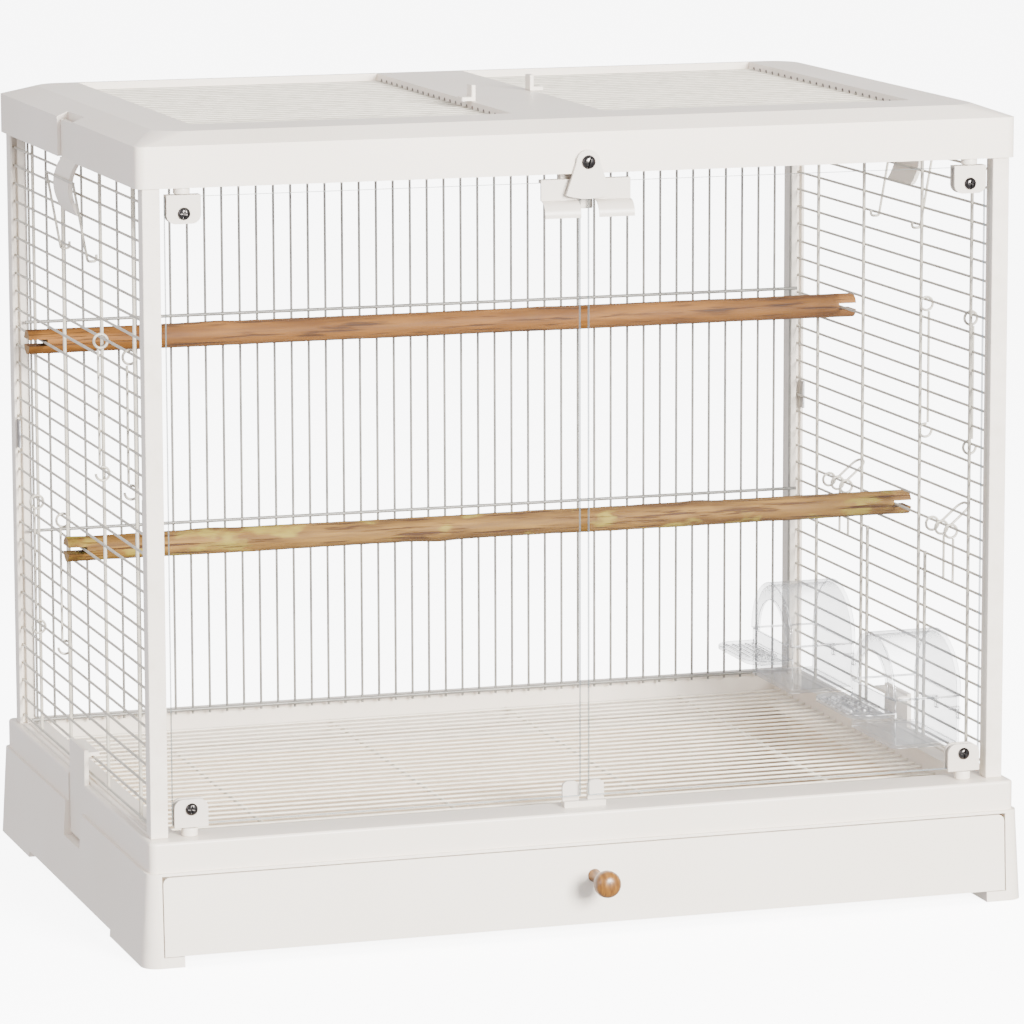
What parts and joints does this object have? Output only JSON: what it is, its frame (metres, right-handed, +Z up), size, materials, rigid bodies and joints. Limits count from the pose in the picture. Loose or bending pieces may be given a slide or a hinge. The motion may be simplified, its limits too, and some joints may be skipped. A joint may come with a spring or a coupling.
{
  "type": "bird cage",
  "caption": "Glass-fronted bird cage with wire sides, moulded base and lid, pull-out drawer, two swing doors, perches and clear feeders.",
  "frame": {"origin": "middle of the whole box's underside, on the floor", "axes": "+X across the front to the viewer's right, +Y from front to back, +Z up"},
  "size_m": [0.6248, 0.4642, 0.5505],
  "materials": {
    "white_plastic": "satin moulded",
    "white_enamel": "satin enamel",
    "wire": "powder coated",
    "glass": "polished",
    "clear_plastic": "clear moulded",
    "wood_smooth": "sanded",
    "wood_bark": "peeled branch",
    "knob_wood": "oiled",
    "steel": "polished",
    "spring_steel": "brushed"
  },
  "bodies": {
    "root": {"base_shell": "white_plastic", "lid_shell": "white_plastic", "post_front_left": "white_enamel", "post_front_right": "white_enamel", "post_rear_left": "white_enamel", "post_rear_right": "white_enamel", "back_grille": "wire", "side_grille_left": "wire", "side_grille_right": "wire", "floor_grille": "wire", "top_grille_left": "wire", "top_grille_right": "wire", "grille_catches": "white_plastic", "perch_upper": "wood_smooth", "perch_lower": "wood_bark", "post_clips": "spring_steel", "pivot_bushes_lower": "white_plastic", "pivot_bushes_upper": "white_plastic", "door_stop": "white_plastic", "latch_screw": "steel", "latch_stop_block": "white_plastic", "feeder_cup_front": "clear_plastic", "feeder_cup_rear": "clear_plastic", "feeder_hood_front": "clear_plastic", "feeder_hood_rear": "clear_plastic"},
    "drawer": {"drawer_front": "white_plastic", "drawer_tray": "white_plastic", "drawer_knob": "knob_wood", "knob_screw": "steel"},
    "turn_latch": {"turn_latch": "white_plastic"},
    "door_left": {"glass_left": "glass", "hinge_clamps_left": "white_enamel", "hinge_screws_left": "steel", "handle_left": "white_plastic"},
    "top_lever_left": {"top_lever_left": "white_plastic"},
    "top_bail_left": {"top_bail_left": "wire"},
    "base_lever_left": {"base_lever_left": "white_plastic"},
    "door_right": {"glass_right": "glass", "hinge_clamps_right": "white_enamel", "hinge_screws_right": "steel", "handle_right": "white_plastic"},
    "top_lever_right": {"top_lever_right": "white_plastic"},
    "top_bail_right": {"top_bail_right": "wire"},
    "base_lever_right": {"base_lever_right": "white_plastic"},
    "side_door_left_upper": {"side_door_left_upper": "wire"},
    "side_door_left_lower": {"side_door_left_lower": "wire"},
    "side_door_right_upper": {"side_door_right_upper": "wire"},
    "feeder_flap_front": {"feeder_flap_front": "wire"},
    "feeder_flap_rear": {"feeder_flap_rear": "wire"}
  },
  "joints": [
    {"name": "drawer_slide", "type": "slide", "parent": "root", "child": "drawer", "axis": [0, -1, 0], "range_m": [0, 0.3]},
    {"name": "turn_latch_turn", "type": "hinge", "parent": "root", "child": "turn_latch", "pos_m": [-0.00471, -0.1834, 0.5126], "axis": [0, -1, 0], "range_deg": [-90, 90]},
    {"name": "door_left_swing", "type": "hinge", "parent": "root", "child": "door_left", "pos_m": [-0.27537, -0.1768, 0.2935], "axis": [0, 0, -1], "range_deg": [0, 115]},
    {"name": "top_lever_left_swing", "type": "hinge", "parent": "root", "child": "top_lever_left", "pos_m": [-0.30267, 0.0127, 0.527], "axis": [0, 1, 0], "range_deg": [0, 100]},
    {"name": "top_bail_left_swing", "type": "hinge", "parent": "top_lever_left", "child": "top_bail_left", "pos_m": [-0.3106, 0.0127, 0.493], "axis": [0, 1, 0], "range_deg": [0, 60]},
    {"name": "base_lever_left_swing", "type": "hinge", "parent": "root", "child": "base_lever_left", "pos_m": [-0.30396, 0.0127, 0.041], "axis": [0, -1, 0], "range_deg": [0, 75]},
    {"name": "door_right_swing", "type": "hinge", "parent": "root", "child": "door_right", "pos_m": [0.26593, -0.1768, 0.2935], "axis": [0, 0, 1], "range_deg": [0, 115]},
    {"name": "top_lever_right_swing", "type": "hinge", "parent": "root", "child": "top_lever_right", "pos_m": [0.29324, 0.0127, 0.527], "axis": [0, -1, 0], "range_deg": [0, 100]},
    {"name": "top_bail_right_swing", "type": "hinge", "parent": "top_lever_right", "child": "top_bail_right", "pos_m": [0.30117, 0.0127, 0.493], "axis": [0, -1, 0], "range_deg": [0, 60]},
    {"name": "base_lever_right_swing", "type": "hinge", "parent": "root", "child": "base_lever_right", "pos_m": [0.29453, 0.0127, 0.041], "axis": [0, 1, 0], "range_deg": [0, 75]},
    {"name": "side_door_left_upper_swing", "type": "hinge", "parent": "root", "child": "side_door_left_upper", "pos_m": [-0.29867, -0.08705, 0.3929], "axis": [0, 1, 0], "range_deg": [0, 110]},
    {"name": "side_door_left_lower_swing", "type": "hinge", "parent": "root", "child": "side_door_left_lower", "pos_m": [-0.29867, 0.11245, 0.2532], "axis": [0, 1, 0], "range_deg": [0, 110]},
    {"name": "side_door_right_upper_swing", "type": "hinge", "parent": "root", "child": "side_door_right_upper", "pos_m": [0.28924, -0.08705, 0.3929], "axis": [0, -1, 0], "range_deg": [0, 110]},
    {"name": "feeder_flap_front_swing", "type": "hinge", "parent": "root", "child": "feeder_flap_front", "pos_m": [0.28924, -0.08705, 0.2405], "axis": [0, -1, 0], "range_deg": [0, 50]},
    {"name": "feeder_flap_rear_swing", "type": "hinge", "parent": "root", "child": "feeder_flap_rear", "pos_m": [0.28924, 0.11245, 0.2405], "axis": [0, -1, 0], "range_deg": [0, 50]}
  ]
}
